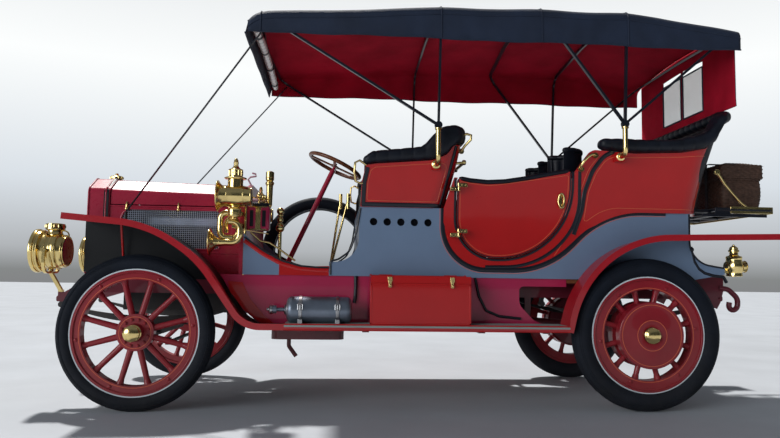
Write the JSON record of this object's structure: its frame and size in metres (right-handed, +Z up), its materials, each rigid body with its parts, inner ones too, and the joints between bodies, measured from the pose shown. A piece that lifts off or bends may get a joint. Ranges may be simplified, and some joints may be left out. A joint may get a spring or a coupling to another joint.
{
  "type": "brass era touring car",
  "caption": "Open touring car with brass lamps, spoked wheels, twin side doors, folding top, luggage rack and hamper.",
  "frame": {"origin": "On the ground, midway along and across the bounding box.", "axes": "+X from front to rear, +Y to the car's right side, +Z up."},
  "size_m": [4.822, 1.666, 2.582],
  "materials": {
    "crimson_paint": "gloss",
    "red_paint": "gloss",
    "grey_paint": "gloss",
    "maroon_paint": "gloss",
    "board_top": "matte",
    "black_iron": "satin",
    "brass": "polished",
    "leather": "satin",
    "tyre_rubber": "matte",
    "canopy_cloth": "matte",
    "wood": "satin",
    "wicker": "matte",
    "core_mesh": "satin"
  },
  "bodies": {
    "chassis": {"board_irons": "maroon_paint", "boiler_casing": "maroon_paint", "bonnet_grilles": "core_mesh", "bonnet_sides": "crimson_paint", "brake_levers": "brass", "chassis_frame": "maroon_paint", "dash": "crimson_paint", "dash_fittings": "brass", "engine_block": "black_iron", "entry_sills": "red_paint", "floor": "wood", "front_axle": "black_iron", "front_fenders": "crimson_paint", "front_seat": "leather", "front_seat_shell": "red_paint", "front_shell": "crimson_paint", "gas_tank": "grey_paint", "hamper": "wicker", "headlamps": "brass", "horn": "brass", "jump_seats": "leather", "lamp_brackets": "brass", "lower_body": "grey_paint", "luggage_rack": "brass", "radiator_core": "core_mesh", "rear_axle": "maroon_paint", "rear_curtain": "canopy_cloth", "rear_fenders": "crimson_paint", "rear_seat": "leather", "running_boards": "board_top", "side_aprons": "maroon_paint", "side_lamps": "brass", "spare_tyres": "tyre_rubber", "springs": "black_iron", "steering_column": "brass", "tail_lamp": "brass", "tonneau_shell": "red_paint", "toolbox": "black_iron", "top_bows": "black_iron", "top_fabric": "canopy_cloth", "top_straps": "leather"},
    "steer_left": {"knuckle_left": "black_iron"},
    "steer_right": {"knuckle_right": "black_iron"},
    "wheel_fl": {"wheel_front_left": "crimson_paint", "tyre_front_left": "tyre_rubber"},
    "wheel_fr": {"wheel_front_right": "crimson_paint", "tyre_front_right": "tyre_rubber"},
    "wheel_rl": {"wheel_rear_left": "crimson_paint", "tyre_rear_left": "tyre_rubber"},
    "wheel_rr": {"wheel_rear_right": "crimson_paint", "tyre_rear_right": "tyre_rubber"},
    "track_rod": {"tie_rod": "black_iron"},
    "pitman": {"pitman_arm": "black_iron"},
    "drag": {"drag_link": "black_iron"},
    "hand_wheel": {"steering_wheel": "wood"},
    "left_door": {"door_left": "red_paint"},
    "right_door": {"door_right": "red_paint"},
    "left_lid": {"bonnet_left": "crimson_paint"},
    "right_lid": {"bonnet_right": "crimson_paint"},
    "box_lid": {"toolbox_lid": "black_iron"}
  },
  "joints": [
    {"name": "steer_left_pivot", "type": "hinge", "parent": "chassis", "child": "steer_left", "pos_m": [-1.699, -0.632, 0.457], "axis": [0, 0, 1], "range_deg": [-30, 30]},
    {"name": "steer_right_pivot", "type": "hinge", "parent": "chassis", "child": "steer_right", "pos_m": [-1.699, 0.632, 0.457], "axis": [0, 0, 1], "range_deg": [-30, 30]},
    {"name": "wheel_fl_spin", "type": "hinge", "parent": "steer_left", "child": "wheel_fl", "pos_m": [-1.699, -0.711, 0.457], "axis": [0, 1, 0], "continuous": true},
    {"name": "wheel_fr_spin", "type": "hinge", "parent": "steer_right", "child": "wheel_fr", "pos_m": [-1.699, 0.711, 0.457], "axis": [0, 1, 0], "continuous": true},
    {"name": "wheel_rl_spin", "type": "hinge", "parent": "chassis", "child": "wheel_rl", "pos_m": [1.401, -0.711, 0.47], "axis": [0, 1, 0], "continuous": true},
    {"name": "wheel_rr_spin", "type": "hinge", "parent": "chassis", "child": "wheel_rr", "pos_m": [1.401, 0.711, 0.47], "axis": [0, 1, 0], "continuous": true},
    {"name": "track_rod_pivot", "type": "hinge", "parent": "steer_left", "child": "track_rod", "pos_m": [-1.529, -0.632, 0.367], "axis": [0, 0, 1], "range_deg": [-30.5, 30.5]},
    {"name": "pitman_pivot", "type": "hinge", "parent": "chassis", "child": "pitman", "pos_m": [-0.987, 0.33, 0.7], "axis": [0, 1, 0], "range_deg": [-18, 18]},
    {"name": "drag_pivot", "type": "hinge", "parent": "pitman", "child": "drag", "pos_m": [-0.987, 0.35, 0.52], "axis": [0, 1, 0], "range_deg": [-18, 18]},
    {"name": "hand_wheel_turn", "type": "hinge", "parent": "chassis", "child": "hand_wheel", "pos_m": [-0.558, 0.35, 1.645], "axis": [0.409, 0.061, 0.9105], "range_deg": [-215, 215]},
    {"name": "left_door_hinge", "type": "hinge", "parent": "chassis", "child": "left_door", "pos_m": [0.229, -0.648, 1.235], "axis": [0, 0, -1], "range_deg": [0, 80]},
    {"name": "right_door_hinge", "type": "hinge", "parent": "chassis", "child": "right_door", "pos_m": [0.229, 0.648, 1.235], "axis": [0, 0, 1], "range_deg": [0, 80]},
    {"name": "left_lid_hinge", "type": "hinge", "parent": "chassis", "child": "left_lid", "pos_m": [-2.009, -0.012, 1.422], "axis": [-0.9998, 0, 0.0218], "range_deg": [0, 80]},
    {"name": "right_lid_hinge", "type": "hinge", "parent": "chassis", "child": "right_lid", "pos_m": [-2.009, 0.012, 1.422], "axis": [0.9998, 0, -0.0218], "range_deg": [0, 80]},
    {"name": "box_lid_hinge", "type": "hinge", "parent": "chassis", "child": "box_lid", "pos_m": [-0.021, -0.62, 0.811], "axis": [-1, 0, 0], "range_deg": [0, 70]}
  ],
  "couplings": [
    {"joint": "steer_right_pivot", "follows": "steer_left_pivot", "ratio": 1},
    {"joint": "track_rod_pivot", "follows": "steer_left_pivot", "ratio": -1},
    {"joint": "pitman_pivot", "follows": "steer_left_pivot", "ratio": -0.593},
    {"joint": "drag_pivot", "follows": "steer_left_pivot", "ratio": 0.593},
    {"joint": "hand_wheel_turn", "follows": "steer_left_pivot", "ratio": 7}
  ]
}
